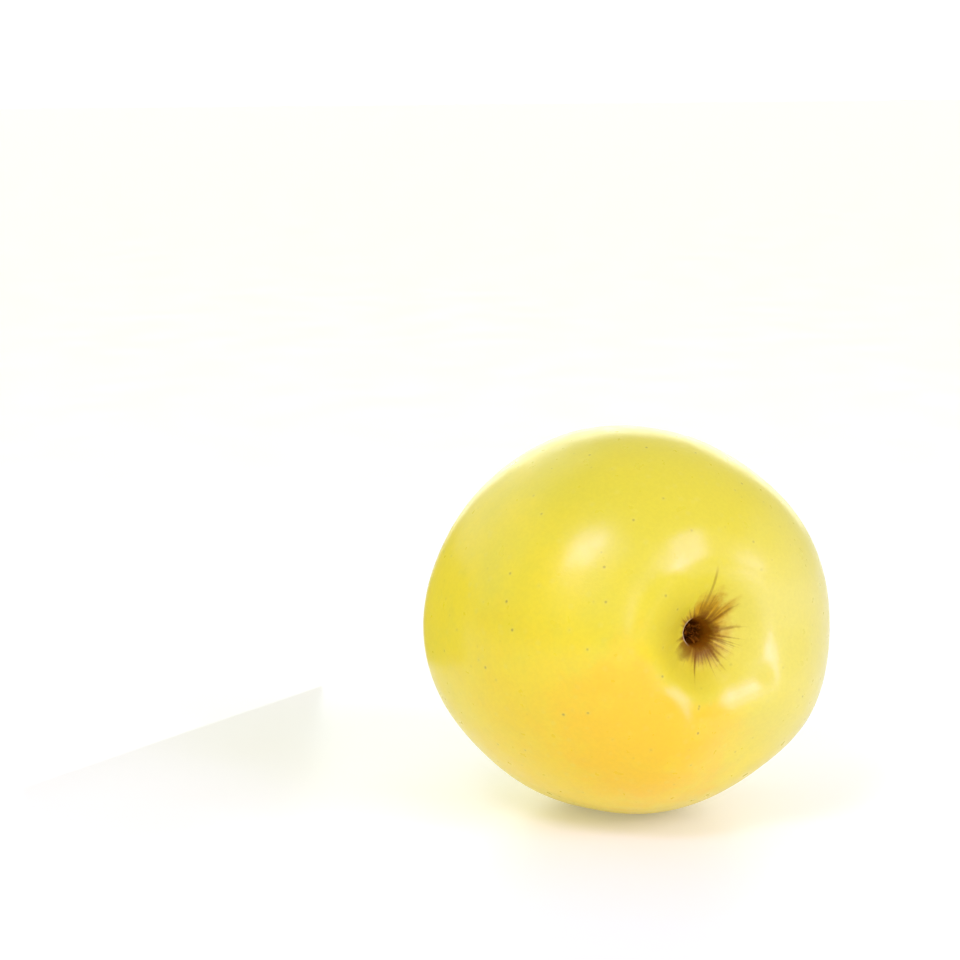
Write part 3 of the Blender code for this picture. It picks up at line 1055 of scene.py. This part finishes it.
@dataclass
class Skin:
    """The fruit's fine surface."""

    form: FruitForm
    lying: Matrix
    finish: SkinFinish = SkinFinish()
    turn_steps: int = 288
    finest_ring: float = 0.00030
    ring_growth: float = 0.0190
    broad_waves: float = 0.00016
    broad_wave_length: float = 0.016
    fine_waves: float = 0.00003
    fine_wave_length: float = 0.0045
    pleat_depth: float = 0.00008
    pleat_count: int = 11
    pleat_start: Span = (0.0026, 0.0050)
    pleat_end: Span = (0.0130, 0.0070)
    pleat_sway: float = 1.8
    pleat_sway_turn: float = 0.7
    let_down: float = 0.00007
    basin_widths: tuple[RimWave, ...] = (RimWave(0, 0.0, 0.152), RimWave(1, math.radians(217), 0.247))
    widening_start: Span = (0.0030, 0.0070)
    crest_radius: float = 0.0152
    crest_shift: RimWave = RimWave(1, math.radians(87), 0.0020)
    crest_width: float = 0.0027
    crest_start: Span = (0.0045, 0.0085)
    crest_end: Span = (0.0260, 0.0200)
    crest_depths: tuple[RimWave, ...] = (
        RimWave(0, 0.0, -0.00008),
        RimWave(1, math.radians(200), 0.00002),
        RimWave(2, math.radians(-25), 0.00017),
        RimWave(3, math.radians(-45), 0.00010),
    )
    knobs: tuple[Knob, ...] = (
        Knob(math.radians(91), 0.0187, 0.00009, 0.0032, 0.0032, 0.0),
        Knob(math.radians(247), 0.0169, 0.00085, 0.0032, 0.0046, math.radians(258)),
        Knob(math.radians(222), 0.0150, -0.00080, 0.0031, 0.0037, math.radians(253)),
    )
    lip_squeeze: float = 0.15
    lip_width: float = 0.0013
    spot_softness: float = 0.00015

    def build(self) -> bpy.types.Object:
        """The skin, turned, pushed out into lobes and laid down.

        Returns:
            The finished piece.
        """
        shape = self.turned_profile()
        place = shape.verts.layers.float_vector.new("place")
        for vertex in shape.verts:
            vertex[place] = vertex.co * MILLIMETRES
            vertex.co = self.form.uneven(self.narrowed_lip(vertex.co))
        shape.normal_update()
        heights = [self.relief(vertex) for vertex in shape.verts]
        for vertex, height in zip(shape.verts, heights):
            vertex.co += vertex.normal * height
        bmesh.ops.transform(shape, matrix=self.lying, verts=shape.verts)
        for vertex in shape.verts:
            vertex.co.z = (vertex.co.z + math.hypot(vertex.co.z, self.spot_softness)) / 2
        piece = finish_piece("apple_skin_surface", shape, self.finish.material())
        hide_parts(Node.BODY.value)
        return piece

    def turned_profile(self) -> bmesh.types.BMesh:
        """The profile spun once round the axis, with its faces pointing out.

        Returns:
            The turned form.
        """
        shape = bmesh.new()
        points = [shape.verts.new(point) for point in self.form.profile(self.finest_ring, self.ring_growth)]
        edges = [shape.edges.new(pair) for pair in zip(points, points[1:])]
        bmesh.ops.spin(
            shape,
            geom=points + edges,
            cent=(0, 0, 0),
            axis=(0, 0, 1),
            dvec=(0, 0, 0),
            angle=2 * math.pi,
            steps=self.turn_steps,
            use_merge=True,
        )
        bmesh.ops.remove_doubles(shape, verts=shape.verts, dist=MERGE_DISTANCE)
        bmesh.ops.recalc_face_normals(shape, faces=shape.faces)
        return shape

    def relief(self, vertex: bmesh.types.BMVert) -> float:
        """How far a point stands out: slow waves all over, and pleats in the calyx basin.

        Args:
            vertex: a point of the lobed form.

        Returns:
            The height along its normal.
        """
        broad = noise.noise(vertex.co / self.broad_wave_length)
        fine = noise.noise(vertex.co / self.fine_wave_length)
        height = self.broad_waves * broad + self.fine_waves * fine - self.let_down
        radius = math.hypot(vertex.co.x, vertex.co.y)
        if vertex.co.z < 0:
            angle = math.atan2(vertex.co.y, vertex.co.x)
            in_basin = smooth_step(radius, *self.pleat_start) * smooth_step(radius, *self.pleat_end)
            sway = self.pleat_sway * math.sin(2 * angle + self.pleat_sway_turn)
            pleat = math.cos(self.pleat_count * angle + sway)
            height += self.pleat_depth * in_basin * pleat
            height -= self.beside_crest(radius, angle) + self.wider_basin(radius, angle)
            height += sum(knob.at(vertex.co.x, vertex.co.y) for knob in self.knobs)
        return height

    def beside_crest(self, radius: float, angle: float) -> float:
        """How much the skin is let down on both sides of the basin's crest, which sharpens it.

        Args:
            radius: distance from the axis.
            angle: angle round the axis.

        Returns:
            The depth.
        """
        off = (radius - self.crest_radius - self.crest_shift.at(angle)) / self.crest_width
        near = smooth_step(radius, *self.crest_start) * smooth_step(radius, *self.crest_end)
        depth = sum(wave.at(angle) for wave in self.crest_depths)
        return depth * near * (1 - math.exp(-off * off))

    def wider_basin(self, radius: float, angle: float) -> float:
        """How much deeper the basin's wall lies, as it is wider on the side away from the crease.

        Args:
            radius: distance from the axis.
            angle: angle round the axis.

        Returns:
            The depth.
        """
        basin = self.form.calyx_basin
        widening = 1 + sum(wave.at(angle) for wave in self.basin_widths)
        wider = Dimple(basin.depth, basin.width * widening, basin.steepness)
        return (wider.sink(radius) - basin.sink(radius)) * smooth_step(radius, *self.widening_start)

    def narrowed_lip(self, point: Vector) -> Vector:
        """Draws the lip of the calyx tube in towards the axis.

        Args:
            point: a point of the turned form.

        Returns:
            The moved point.
        """
        radius = math.hypot(point.x, point.y)
        if point.z > 0 or radius == 0:
            return point.copy()
        off = (radius - self.form.calyx_tube.width) / self.lip_width
        squeeze = 1 - self.lip_squeeze * math.exp(-off * off)
        return Vector((point.x * squeeze, point.y * squeeze, point.z))


@dataclass(frozen=True)
class BarkFinish:
    """The stem's thin bark: amber at its foot, red brown higher up, dark at the knob."""

    amber: Colour = (0.34, 0.14, 0.014)
    olive: Colour = (0.36, 0.30, 0.04)
    red_brown: Colour = (0.17, 0.055, 0.018)
    knob: Colour = (0.055, 0.022, 0.012)
    pale: Colour = (0.50, 0.36, 0.14)
    streak_scale: Triple = (2.2, 2.2, 5.0)
    streak_span: Span = (0.25, 0.75)
    streak_shades: Span = (0.62, 1.25)
    blotch_scale: Triple = (0.8, 0.8, 9.0)
    blotch_reach: float = 0.24
    olive_span: Span = (0.38, 0.55)
    olive_share: float = 0.55
    red_span: Span = (0.55, 0.74)
    knob_span: Span = (0.90, 0.99)
    dot_scale: Triple = (1.6, 1.6, 16.0)
    dot_size: Span = (0.22, 0.10)
    dot_rarity: Span = (0.5, 0.8)
    dot_share: float = 0.5
    dot_height: float = 0.3
    rough_span: Span = (0.2, 0.8)
    roughness: Span = (0.45, 0.72)
    sheen: float = 0.08
    sheen_roughness: float = 0.5
    relief_depth: float = 0.00022

    def material(self) -> bpy.types.Material:
        """The finished bark.

        Returns:
            The material, which reads the mesh's attribute "grain".
        """
        graph = Graph("stem_wood")
        grain = graph.attribute("grain")
        _, _, along = graph.parts(grain)
        streaks = graph.noise(graph.vector("MULTIPLY", grain, self.streak_scale), 1.0, 4.0, 0.6)
        blotches = graph.noise(graph.vector("MULTIPLY", grain, self.blotch_scale), 1.0, 3.0)
        height = graph.math("ADD", along, graph.math("MULTIPLY", blotches, self.blotch_reach))
        height = graph.math("SUBTRACT", height, self.blotch_reach / 2)
        olive = graph.ease(height, *self.olive_span, 0.0, self.olive_share)
        colour = graph.tint(olive, self.amber, self.olive)
        colour = graph.tint(graph.ease(height, *self.red_span), colour, self.red_brown)
        colour = graph.tint(graph.ease(height, *self.knob_span), colour, self.knob)
        shade = graph.ease(streaks, *self.streak_span, *self.streak_shades)
        colour = graph.tint(1.0, colour, graph.combine(shade, shade, shade), "MULTIPLY")
        distance, chance = graph.cells(graph.vector("MULTIPLY", grain, self.dot_scale), 1.0)
        rarity = graph.ease(chance, *self.dot_rarity)
        dot = graph.math("MULTIPLY", graph.ease(distance, *self.dot_size), rarity)
        colour = graph.tint(graph.math("MULTIPLY", dot, self.dot_share), colour, self.pale)
        rough = graph.ease(streaks, *self.rough_span, *self.roughness)
        relief = graph.math("ADD", streaks, graph.math("MULTIPLY", dot, self.dot_height))
        graph.set(Base_Color=colour, Roughness=rough, Normal=graph.bump(relief, self.relief_depth))
        graph.set(Sheen_Weight=self.sheen, Sheen_Roughness=self.sheen_roughness)
        return graph.material


@dataclass
class Stem:
    """The woody stem, from its root in the socket to the knob where it left the spur."""

    form: FruitForm
    lying: Matrix
    finish: BarkFinish = BarkFinish()
    length: float = 0.0277
    bend: float = 0.0042
    bend_angle: float = math.radians(215)
    bend_power: float = 2.4
    radius: float = 0.00120
    root_swell: float = 0.12
    root_reach: float = 0.12
    knob_swell: float = 0.55
    knob_reach: float = 0.22
    ridge_count: int = 5
    ridge_height: float = 0.05
    ridge_twist: float = 4.0
    ridge_start: float = 0.15
    lump_reach: float = 0.12
    corner_height: float = 0.12
    corner_count: int = 3
    corner_turn: float = 1.0
    lump_height: float = 0.03
    knob_lump_height: float = 0.16
    lump_scale: Triple = (1.1, 1.1, 22.0)
    grain_height: float = 0.025
    grain_scale: Triple = (3.5, 3.5, 9.0)
    end_slant: float = 0.35
    end_height: float = 0.0009
    end_start: float = 0.999
    end_scale: float = 2.4
    end_shift: float = 5.0
    end_rounding: float = 0.035
    end_share: float = 0.55
    end_inset: float = 0.9
    sides: int = 48
    rings: int = 150
    end_rings: int = 5

    def centre(self, share: float) -> Vector:
        """A point of the centreline, from the root at 0 to the knob at 1.

        Args:
            share: share of the stem's length.

        Returns:
            The point.
        """
        side = self.bend * share**self.bend_power
        height = self.form.stem_root() + self.length * share
        return Vector((side * math.cos(self.bend_angle), side * math.sin(self.bend_angle), height))

    def thickness(self, share: float) -> float:
        """Half the stem's thickness at a share of its length.

        Args:
            share: share of the stem's length.

        Returns:
            The mean radius there.
        """
        root = self.root_swell * math.exp(-share / self.root_reach)
        knob = self.knob_swell * math.exp(-(((1 - share) / self.knob_reach) ** 2))
        rounding = math.sqrt(min((1 - share) / self.end_rounding, 1.0))
        return self.radius * (1 + root + knob) * (self.end_share + (1 - self.end_share) * rounding)

    def build(self) -> bpy.types.Object:
        """The stem with its bark ridges and its rough, broken end.

        Returns:
            The finished piece.
        """
        shape = self.plain_bar()
        grain = shape.verts.layers.float_vector.new("grain")
        for vertex in shape.verts:
            vertex[grain] = vertex.co.copy()
            vertex.co = self.shaped(vertex.co)
        bmesh.ops.transform(shape, matrix=self.lying, verts=shape.verts)
        piece = finish_piece("stem_bark", shape, self.finish.material())
        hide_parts(Node.STEM.value)
        return piece

    def plain_bar(self) -> bmesh.types.BMesh:
        """A straight bar of radius 1 and height 1, cut into rings, with inset ends.

        Returns:
            The bar.
        """
        shape = bmesh.new()
        bmesh.ops.create_cone(
            shape,
            cap_ends=True,
            segments=self.sides,
            radius1=1.0,
            radius2=1.0,
            depth=1.0,
            matrix=Matrix.Translation((0, 0, 0.5)),
        )
        upright = [edge for edge in shape.edges if abs(edge.verts[0].co.z - edge.verts[1].co.z) > 0.5]
        bmesh.ops.subdivide_edges(shape, edges=upright, cuts=self.rings, use_grid_fill=True)
        ends = [face for face in shape.faces if len(face.verts) == self.sides]
        for end in ends:
            for _ in range(self.end_rings):
                step = self.end_inset / self.end_rings
                bmesh.ops.inset_region(shape, faces=[end], thickness=step, use_even_offset=True)
        bmesh.ops.poke(shape, faces=ends)
        return shape

    def shaped(self, spot: Vector) -> Vector:
        """Moves a point of the plain bar to the stem's uneven surface.

        Args:
            spot: a point of the plain bar.

        Returns:
            The point on the stem.
        """
        share = min(max(spot.z, 0.0), 1.0)
        out = Vector((spot.x, spot.y, 0.0))
        angle = math.atan2(spot.y, spot.x)
        above = min(max(share / self.ridge_start - 1, 0.0), 1.0)
        swell = self.ridge_height * above * math.cos(self.ridge_count * angle + self.ridge_twist * share)
        knob = math.exp(-(((1 - share) / self.lump_reach) ** 2))
        swell += self.corner_height * knob * math.cos(self.corner_count * angle + self.corner_turn)
        even = Vector((spot.x, spot.y, share))
        lump = noise.noise(even * Vector(self.lump_scale))
        swell += (self.lump_height + self.knob_lump_height * knob) * lump
        swell += self.grain_height * noise.noise(even * Vector(self.grain_scale))
        out *= self.thickness(share) * (1 + swell)
        height = self.end_slant * knob * out.x
        if share > self.end_start:
            torn = Vector((spot.x * self.end_scale + self.end_shift, spot.y * self.end_scale, 1.0))
            height += self.end_height * noise.noise(torn)
        return self.centre(share) + out + Vector((0, 0, height))


@dataclass(frozen=True)
class WitheredFinish:
    """Dry, brown, slightly downy tissue."""

    name: str
    dark: Colour = (0.19, 0.056, 0.001)
    light: Colour = (0.32, 0.105, 0.003)
    specular: float = 0.08
    cloud_scale: float = 0.9
    cloud_span: Span = (0.3, 0.72)
    rough_span: Span = (0.2, 0.8)
    roughness: Span = (0.75, 0.95)
    down_scale: float = 4.0
    relief_depth: float = 0.0002

    def material(self) -> bpy.types.Material:
        """The finished tissue.

        Returns:
            The material.
        """
        graph = Graph(self.name)
        place = graph.scaled(graph.object_place(), MILLIMETRES)
        cloud = graph.noise(place, self.cloud_scale, 4.0, 0.65)
        colour = graph.tint(graph.ease(cloud, *self.cloud_span), self.dark, self.light)
        graph.set(Base_Color=colour, Roughness=graph.ease(cloud, *self.rough_span, *self.roughness))
        down = graph.noise(place, self.down_scale, 3.0)
        graph.set(Specular_IOR_Level=self.specular, Normal=graph.bump(down, self.relief_depth))
        return graph.material


@dataclass
class Calyx:
    """The withered calyx at the foot of its tube: five sepals, and what is left of the stamens."""

    form: FruitForm
    lying: Matrix
    sepal_finish: WitheredFinish = WitheredFinish("withered_sepals")
    stamen_finish: WitheredFinish = WitheredFinish(
        "withered_stamens", (0.20, 0.052, 0.001), (0.25, 0.075, 0.002)
    )
    base_radius: float = 0.0017
    base_height: float = 0.0016
    base_taper: float = 0.92
    base_sides: int = 24
    sepal_count: int = 5
    sepal_length: float = 0.0042
    sepal_width: float = 0.0019
    sepal_thickness: float = 0.00014
    sepal_foot: float = 0.0004
    sepal_length_change: float = 0.10
    sepal_narrowing: float = 0.85
    sepal_bend_in: float = 0.00144
    sepal_curl_out: float = 0.00214
    sepal_hollow: float = 0.0007
    sepal_wrinkle: float = 0.00022
    sepal_lean: float = 0.0004
    sepal_turn_change: float = 0.18
    ring_radius: float = 0.00135
    stamen_count: int = 16
    stamen_length: float = 0.0036
    stamen_radius: float = 0.00009
    stamen_taper: float = 0.7
    stamen_sides: int = 6
    stamen_cuts: int = 5
    anther_radius: float = 0.00019
    stamen_foot: float = 0.0010
    stamen_shortening: Span = (0.7, 1.0)
    stamen_lean: Span = (-0.0003, 0.0007)
    stamen_start: Span = (0.0004, 0.0011)
    stamen_bend: float = 0.0003
    stamen_scatter: float = 0.6
    stamen_seed: int = 11

    def build(self) -> list[bpy.types.Object]:
        """The sepals and the stamens.

        Returns:
            The two finished pieces.
        """
        upside_down = Matrix.Translation((0, 0, self.form.calyx_root())) @ Matrix.Rotation(math.pi, 4, "X")
        place = self.lying @ upside_down
        sepals = self.sepals()
        bmesh.ops.transform(sepals, matrix=place, verts=sepals.verts)
        first = finish_piece("calyx_sepals", sepals, self.sepal_finish.material())
        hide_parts(Node.CALYX.value)
        stamens = self.stamens()
        bmesh.ops.transform(stamens, matrix=place, verts=stamens.verts)
        second = finish_piece("calyx_stamens", stamens, self.stamen_finish.material())
        return [first, second]

    def sepals(self) -> bmesh.types.BMesh:
        """Five curled, wrinkled tongues on a short cup.

        Returns:
            The sepals and the cup, upright at the origin.
        """
        shape = bmesh.new()
        bmesh.ops.create_cone(
            shape,
            cap_ends=True,
            segments=self.base_sides,
            radius1=self.base_radius,
            radius2=self.base_radius * self.base_taper,
            depth=self.base_height,
            matrix=Matrix.Translation((0, 0, self.base_height / 2)),
        )
        for index in range(self.sepal_count):
            merge_into(shape, self.sepal(index))
        return shape

    def sepal(self, index: int) -> bmesh.types.BMesh:
        """One sepal, bent in and curled out again at its tip.

        Args:
            index: which of the sepals.

        Returns:
            The sepal, turned to its place in the ring.
        """
        shape = bmesh.new()
        bmesh.ops.create_grid(shape, x_segments=8, y_segments=20, size=0.5)
        length = self.sepal_length * (1 + self.sepal_length_change * math.sin(1.7 * index + 0.6))
        for vertex in shape.verts:
            across = vertex.co.x
            share = vertex.co.y + 0.5
            width = self.sepal_width * (1 - self.sepal_narrowing * share**1.5)
            wrinkle = noise.noise(Vector((across * 5, share * 6, index * 3.7)))
            out = self.ring_radius - self.sepal_bend_in * share + self.sepal_curl_out * share**3
            out += self.sepal_hollow * across * across + self.sepal_wrinkle * wrinkle
            side = across * width + self.sepal_lean * share * math.sin(2.1 * index)
            vertex.co = Vector((out, side, self.sepal_foot + length * share))
        bmesh.ops.solidify(shape, geom=shape.faces[:], thickness=self.sepal_thickness)
        turn = 2 * math.pi * index / self.sepal_count + self.sepal_turn_change * math.sin(2.3 * index)
        bmesh.ops.rotate(shape, cent=(0, 0, 0), matrix=Matrix.Rotation(turn, 3, "Z"), verts=shape.verts)
        return shape

    def stamens(self) -> bmesh.types.BMesh:
        """Thin dry threads, each with a shrunken anther at its end.

        Returns:
            The threads, upright at the origin.
        """
        shape = bmesh.new()
        chance = random.Random(self.stamen_seed)
        for index in range(self.stamen_count):
            turn = 2 * math.pi * (index + self.stamen_scatter * chance.random()) / self.stamen_count
            merge_into(shape, self.stamen(index, turn, chance))
        return shape

    def stamen(self, index: int, turn: float, chance: random.Random) -> bmesh.types.BMesh:
        """One bent thread and its anther, turned to its place in the ring.

        Args:
            index: which of the threads.
            turn: its direction.
            chance: where its random sizes are drawn.

        Returns:
            The thread.
        """
        shape = bmesh.new()
        length = self.stamen_length * chance.uniform(*self.stamen_shortening)
        lean = chance.uniform(*self.stamen_lean)
        start = chance.uniform(*self.stamen_start)
        bmesh.ops.create_cone(
            shape,
            cap_ends=True,
            segments=self.stamen_sides,
            radius1=self.stamen_radius,
            radius2=self.stamen_radius * self.stamen_taper,
            depth=length,
            matrix=Matrix.Translation((0, 0, length / 2)),
        )
        tall = [edge for edge in shape.edges if abs(edge.verts[0].co.z - edge.verts[1].co.z) > length / 2]
        bmesh.ops.subdivide_edges(shape, edges=tall, cuts=self.stamen_cuts)
        bmesh.ops.create_icosphere(
            shape, subdivisions=1, radius=self.anther_radius, matrix=Matrix.Translation((0, 0, length))
        )
        for vertex in shape.verts:
            share = vertex.co.z / length
            vertex.co.x += start + lean * share * share
            vertex.co.y += self.stamen_bend * math.sin(3 * share + index)
            vertex.co.z += self.stamen_foot
        bmesh.ops.rotate(shape, cent=(0, 0, 0), matrix=Matrix.Rotation(turn, 3, "Z"), verts=shape.verts)
        return shape


@dataclass(frozen=True)
class SoftBox:
    """A soft studio light, placed by the parts of its direction to the camera's right, up and back."""

    name: str
    side: Triple
    distance: float
    width: float
    height: float
    power: float
    colour: Colour = (1.0, 1.0, 1.0)


@dataclass(frozen=True)
class SkyPanel:
    """A bright field of the sky, in degrees. Its azimuth is 0 behind the apple and grows to the right."""

    azimuth: float
    elevation: float
    half_width: float
    half_height: float
    softness: float
    strength: float


@dataclass
class Studio:
    """A bright white studio round the apple, and the camera at the photograph's viewing angle."""

    aim: Vector
    camera_azimuth: float = math.radians(-26.3)
    camera_elevation: float = math.radians(12.0)
    camera_distance: float = 0.56
    picture_pixels: float = 960.0
    focus_pixels: float = 2743.0
    aim_pixel: tuple[float, float] = (632.6, 620.9)
    sensor_width_mm: float = 36.0
    clip: Span = (0.01, 100.0)
    floor_half_width: float = 6.0
    floor_colour: Colour = (0.86, 0.86, 0.86)
    floor_glow: float = 0.21
    floor_grain_scale: float = 30.0
    floor_roughness: Span = (0.42, 0.48)
    sky_colour: Colour = (0.97, 1.0, 0.86)
    sky_strength: float = 0.60
    panels: tuple[SkyPanel, ...] = (
        SkyPanel(0.0, 6.0, 22.0, 17.0, 4.0, 1.7),
        SkyPanel(-60.0, 32.0, 42.0, 18.0, 8.0, 0.62),
        SkyPanel(180.0, 38.0, 42.0, 14.0, 10.0, 0.38),
    )
    lights: tuple[SoftBox, ...] = (
        SoftBox("key_box", (-0.29, 0.62, 0.73), 0.9, 0.24, 0.24, 2.1, (0.66, 0.60, 1.0)),
        SoftBox("right_box", (0.70, 0.38, 0.60), 0.9, 0.34, 0.46, 2.9, (0.52, 0.45, 1.0)),
        SoftBox("low_box", (0.70, -0.02, 0.71), 0.9, 0.24, 0.22, 0.95, (0.50, 0.43, 1.0)),
        SoftBox("small_box", (0.57, 0.22, 0.79), 0.85, 0.21, 0.13, 1.05, (0.56, 0.49, 1.0)),
    )
    card_offset: Triple = (-0.105, -0.004, -0.060)
    card_size: float = 0.11
    card_colour: Colour = (0.66, 0.58, 0.16)

    def back(self) -> Vector:
        """The unit vector from the apple to the camera.

        Returns:
            The vector in the row frame.
        """
        flat = math.cos(self.camera_elevation)
        return Vector(
            (
                math.sin(self.camera_azimuth) * flat,
                -math.cos(self.camera_azimuth) * flat,
                math.sin(self.camera_elevation),
            )
        )

    def build(self) -> None:
        """The floor, the sky, the lights and the camera."""
        self.build_floor()
        self.build_sky()
        for light in self.lights:
            self.build_light(light)
        self.build_card()
        self.build_camera()

    def build_floor(self) -> None:
        """A wide pale floor, which isn't part of the object."""
        shape = bmesh.new()
        bmesh.ops.create_grid(shape, x_segments=4, y_segments=4, size=self.floor_half_width)
        mesh = bpy.data.meshes.new("studio_floor")
        shape.to_mesh(mesh)
        shape.free()
        graph = Graph("studio_floor")
        cloud = graph.noise(graph.object_place(), self.floor_grain_scale, 2.0)
        rough = graph.ease(cloud, 0.3, 0.7, *self.floor_roughness)
        graph.set(Base_Color=self.floor_colour, Roughness=rough)
        graph.set(Emission_Color=self.floor_colour, Emission_Strength=self.floor_glow)
        mesh.materials.append(graph.material)
        floor = bpy.data.objects.new("studio_floor", mesh)
        bpy.context.scene.collection.objects.link(floor)

    def build_sky(self) -> None:
        """White light from all round, brighter where the panels are."""
        world = bpy.data.worlds.new("studio_sky")
        world.use_nodes = True
        tree = Tree(world.node_tree)
        background = tree.nodes["Background"]
        direction = tree.nodes.new("ShaderNodeTexCoord").outputs["Generated"]
        turned = tree.nodes.new("ShaderNodeVectorRotate")
        turned.rotation_type = "Z_AXIS"
        tree.feed(turned.inputs["Vector"], direction)
        tree.feed(turned.inputs["Angle"], -self.camera_azimuth)
        right, behind, up = tree.parts(turned.outputs[0])
        azimuth = tree.math("DEGREES", tree.math("ARCTAN2", right, behind))
        elevation = tree.math("DEGREES", tree.math("ARCSINE", up))
        strength: Number = self.sky_strength
        for panel in self.panels:
            strength = tree.math("ADD", strength, self.panel_glow(tree, panel, azimuth, elevation))
        tree.feed(background.inputs["Color"], self.sky_colour)
        tree.feed(background.inputs["Strength"], strength)
        bpy.context.scene.world = world

    def panel_glow(self, tree: Tree, panel: SkyPanel, azimuth: Socket, elevation: Socket) -> Socket:
        """How much one panel adds to the sky's strength.

        Args:
            tree: the sky's node tree.
            panel: the panel.
            azimuth: the direction's azimuth in degrees.
            elevation: its elevation in degrees.

        Returns:
            The strength.
        """
        off = tree.math("ABSOLUTE", tree.math("SUBTRACT", azimuth, panel.azimuth))
        off = tree.math("MINIMUM", off, tree.math("SUBTRACT", 360.0, off))
        across = tree.ease(off, panel.half_width + panel.softness, panel.half_width - panel.softness)
        height = tree.math("ABSOLUTE", tree.math("SUBTRACT", elevation, panel.elevation))
        along = tree.ease(height, panel.half_height + panel.softness, panel.half_height - panel.softness)
        return tree.math("MULTIPLY", tree.math("MULTIPLY", across, along), panel.strength)

    def seen(self, side: Triple) -> Vector:
        """A direction in the row frame, from its parts to the camera's right, its up and its back.

        Args:
            side: the three parts.

        Returns:
            The direction.
        """
        back = self.back()
        right = Vector((0, 0, 1)).cross(back).normalized()
        return right * side[0] + back.cross(right) * side[1] + back * side[2]

    def build_card(self) -> None:
        """A yellow card low at the left, seen only as a reflection, on the apple and on the floor."""
        offset = self.seen(self.card_offset)
        shape = bmesh.new()
        turn = offset.to_track_quat("Z", "Y").to_matrix().to_4x4()
        place = Matrix.Translation(self.aim + offset) @ turn
        bmesh.ops.create_grid(shape, x_segments=1, y_segments=1, size=self.card_size / 2, matrix=place)
        mesh = bpy.data.meshes.new("studio_card")
        shape.to_mesh(mesh)
        shape.free()
        graph = Graph("studio_card")
        graph.set(Base_Color=(0.0, 0.0, 0.0), Roughness=1.0)
        graph.set(Emission_Color=self.card_colour, Emission_Strength=1.0)
        mesh.materials.append(graph.material)
        card = bpy.data.objects.new("studio_card", mesh)
        card.visible_camera = False
        card.visible_diffuse = False
        card.visible_shadow = False
        bpy.context.scene.collection.objects.link(card)

    def build_light(self, light: SoftBox) -> None:
        """One soft box, turned to the apple.

        Args:
            light: its size, place and power.
        """
        side = self.seen(light.side).normalized()
        data = bpy.data.lights.new(light.name, "AREA")
        data.shape = "RECTANGLE"
        data.size = light.width
        data.size_y = light.height
        data.energy = light.power
        data.color = light.colour
        lamp = bpy.data.objects.new(light.name, data)
        lamp.location = self.aim + side * light.distance
        lamp.rotation_euler = side.to_track_quat("Z", "Y").to_euler()
        bpy.context.scene.collection.objects.link(lamp)

    def build_camera(self) -> None:
        """The camera, level, turned so that the apple stands where the photograph has it."""
        data = bpy.data.cameras.new("camera")
        data.sensor_width = self.sensor_width_mm
        data.lens = self.sensor_width_mm * self.focus_pixels / self.picture_pixels
        data.clip_start, data.clip_end = self.clip
        camera = bpy.data.objects.new("camera", data)
        offset_right = self.aim_pixel[0] - self.picture_pixels / 2
        offset_down = self.aim_pixel[1] - self.picture_pixels / 2
        length = math.sqrt(offset_right**2 + offset_down**2 + self.focus_pixels**2)
        drop = math.atan2(offset_down, self.focus_pixels)
        reach = math.hypot(offset_down, self.focus_pixels) / length
        pitch = math.asin(math.sin(self.camera_elevation) / reach) - drop
        forward = (self.focus_pixels * math.cos(pitch) - offset_down * math.sin(pitch)) / length
        turn = math.atan2(offset_right / length, forward)
        camera.location = self.aim + self.back() * self.camera_distance
        camera.rotation_euler = (math.pi / 2 - pitch, 0.0, self.camera_azimuth + turn)
        bpy.context.scene.collection.objects.link(camera)
        bpy.context.scene.camera = camera


def main() -> None:
    """Builds and dresses the apple, reports its pieces, then builds the studio."""
    logging.basicConfig(level=logging.INFO, format="%(name)s: %(message)s")
    form = FruitForm()
    lying = form.lying(*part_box(Node.BODY.value))
    skin = Skin(form, lying).build()
    stem = Stem(form, lying).build()
    sepals, stamens = Calyx(form, lying).build()
    for piece in (skin, stem, sepals, stamens):
        log.info("%s: %d faces", piece.name, len(piece.data.polygons))
    Studio(aim=lying.translation.copy()).build()
    bpy.context.scene.view_settings.view_transform = "Standard"


if __name__ == "__main__":
    main()
